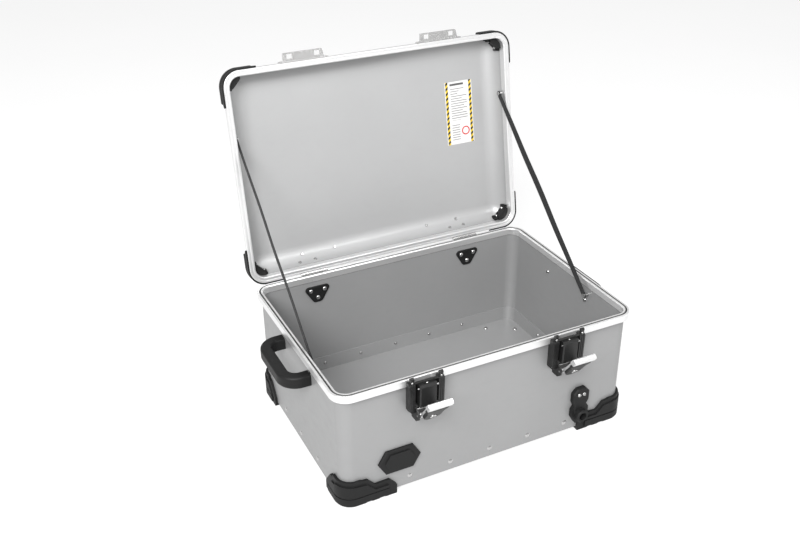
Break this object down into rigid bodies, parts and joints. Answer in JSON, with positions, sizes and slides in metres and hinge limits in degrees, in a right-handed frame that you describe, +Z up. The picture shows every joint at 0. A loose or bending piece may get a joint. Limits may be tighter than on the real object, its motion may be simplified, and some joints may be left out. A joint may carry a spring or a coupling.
{
  "type": "motorcycle top case",
  "caption": "Large hinged aluminium top case with black corner guards, two draw latches, side handles and lid straps, shown open.",
  "frame": {"origin": "middle of the four rack bolt holes, on the underside of the floor", "axes": "+X along the case, -Y towards the latches, +Z up"},
  "size_m": [0.706, 0.6115, 0.6788],
  "materials": {
    "sheet_aluminium": "satin anodised sheet",
    "rim_aluminium": "bright anodised extrusion",
    "seal_rubber": "soft matt rubber",
    "black_plastic": "fine-textured moulding",
    "black_metal": "satin black coating",
    "lever_alloy": "satin silver die casting",
    "stainless_steel": "bright stainless steel",
    "strap_webbing": "woven polyester webbing",
    "printed_label": "printed film"
  },
  "bodies": {
    "base": {"accessory_socket": "black_plastic", "base_rim": "rim_aluminium", "base_rivets": "stainless_steel", "cover_plate": "black_plastic", "floor_pan": "sheet_aluminium", "floor_plate": "sheet_aluminium", "foot_back_left": "black_plastic", "foot_back_right": "black_plastic", "foot_front_left": "black_plastic", "foot_front_right": "black_plastic", "foot_screws": "stainless_steel", "front_screws": "stainless_steel", "handle_screws": "stainless_steel", "hinge_backing_plate_left": "black_plastic", "hinge_backing_plate_right": "black_plastic", "hinge_base_leaf_left": "stainless_steel", "hinge_base_leaf_right": "stainless_steel", "hinge_base_screws": "stainless_steel", "hinge_pins": "stainless_steel", "latch_base_left": "black_metal", "latch_base_right": "black_metal", "latch_base_screws": "stainless_steel", "latch_pins": "stainless_steel", "rim_seal": "seal_rubber", "side_handle_left": "black_plastic", "side_handle_right": "black_plastic", "strap_base_studs": "stainless_steel", "wall_wrap": "sheet_aluminium"},
    "lid": {"hinge_lid_leaf_left": "stainless_steel", "hinge_lid_leaf_right": "stainless_steel", "label_plate": "printed_label", "latch_keeper_left": "stainless_steel", "latch_keeper_right": "stainless_steel", "lid_corner_back_left": "black_plastic", "lid_corner_back_right": "black_plastic", "lid_corner_clamps": "black_plastic", "lid_corner_front_left": "black_plastic", "lid_corner_front_right": "black_plastic", "lid_corner_screws": "stainless_steel", "lid_rim": "rim_aluminium", "lid_rivets": "stainless_steel", "lid_shell": "sheet_aluminium", "strap_lid_studs": "stainless_steel", "tie_loop_left": "stainless_steel", "tie_loop_right": "stainless_steel"},
    "lever_left": {"latch_lever_left": "lever_alloy", "lever_cover_left": "black_metal"},
    "lock_left": {"lock_cylinder_left": "stainless_steel"},
    "hook_left": {"latch_hook_left": "black_metal", "hook_fixings_left": "stainless_steel"},
    "strap_lower_half_left": {"strap_lower_left": "strap_webbing"},
    "strap_upper_half_left": {"strap_upper_left": "strap_webbing"},
    "lever_right": {"latch_lever_right": "lever_alloy", "lever_cover_right": "black_metal"},
    "lock_right": {"lock_cylinder_right": "stainless_steel"},
    "hook_right": {"latch_hook_right": "black_metal", "hook_fixings_right": "stainless_steel"},
    "strap_lower_half_right": {"strap_lower_right": "strap_webbing"},
    "strap_upper_half_right": {"strap_upper_right": "strap_webbing"}
  },
  "joints": [
    {"name": "lid_hinge", "type": "hinge", "parent": "base", "child": "lid", "pos_m": [0, 0.2124, 0.2363], "axis": [1, 0, 0], "range_deg": [0, 99.4]},
    {"name": "lever_swing_left", "type": "hinge", "parent": "base", "child": "lever_left", "pos_m": [-0.146, -0.232, 0.171], "axis": [1, 0, 0], "range_deg": [-37, 12]},
    {"name": "lock_turn_left", "type": "hinge", "parent": "lever_left", "child": "lock_left", "pos_m": [-0.146, -0.2432, 0.17822], "axis": [0, -0.7986, -0.6018], "range_deg": [0, 90]},
    {"name": "hook_tilt_left", "type": "hinge", "parent": "base", "child": "hook_left", "pos_m": [-0.146, -0.2185, 0.176], "axis": [1, 0, 0], "range_deg": [-2.05, 0.7]},
    {"name": "strap_base_fold_left", "type": "hinge", "parent": "base", "child": "strap_lower_half_left", "pos_m": [-0.2899, -0.074, 0.2055], "axis": [1, 0, 0], "range_deg": [-29, 0]},
    {"name": "strap_lid_fold_left", "type": "hinge", "parent": "lid", "child": "strap_upper_half_left", "pos_m": [-0.2922, 0.28117, 0.52129], "axis": [1, 0, 0], "range_deg": [0, 39.4]},
    {"name": "lever_swing_right", "type": "hinge", "parent": "base", "child": "lever_right", "pos_m": [0.146, -0.232, 0.171], "axis": [1, 0, 0], "range_deg": [-37, 12]},
    {"name": "lock_turn_right", "type": "hinge", "parent": "lever_right", "child": "lock_right", "pos_m": [0.146, -0.2432, 0.17822], "axis": [0, -0.7986, -0.6018], "range_deg": [0, 90]},
    {"name": "hook_tilt_right", "type": "hinge", "parent": "base", "child": "hook_right", "pos_m": [0.146, -0.2185, 0.176], "axis": [1, 0, 0], "range_deg": [-2.05, 0.7]},
    {"name": "strap_base_fold_right", "type": "hinge", "parent": "base", "child": "strap_lower_half_right", "pos_m": [0.2899, -0.074, 0.2055], "axis": [1, 0, 0], "range_deg": [-29, 0]},
    {"name": "strap_lid_fold_right", "type": "hinge", "parent": "lid", "child": "strap_upper_half_right", "pos_m": [0.2922, 0.28117, 0.52129], "axis": [1, 0, 0], "range_deg": [0, 39.4]}
  ],
  "couplings": [
    {"joint": "hook_tilt_left", "follows": "lever_swing_left", "ratio": 0.054054},
    {"joint": "strap_base_fold_left", "follows": "lid_hinge", "ratio": -0.2891},
    {"joint": "strap_lid_fold_left", "follows": "lid_hinge", "ratio": 0.39429},
    {"joint": "hook_tilt_right", "follows": "lever_swing_right", "ratio": 0.054054},
    {"joint": "strap_base_fold_right", "follows": "lid_hinge", "ratio": -0.2891},
    {"joint": "strap_lid_fold_right", "follows": "lid_hinge", "ratio": 0.39429}
  ]
}
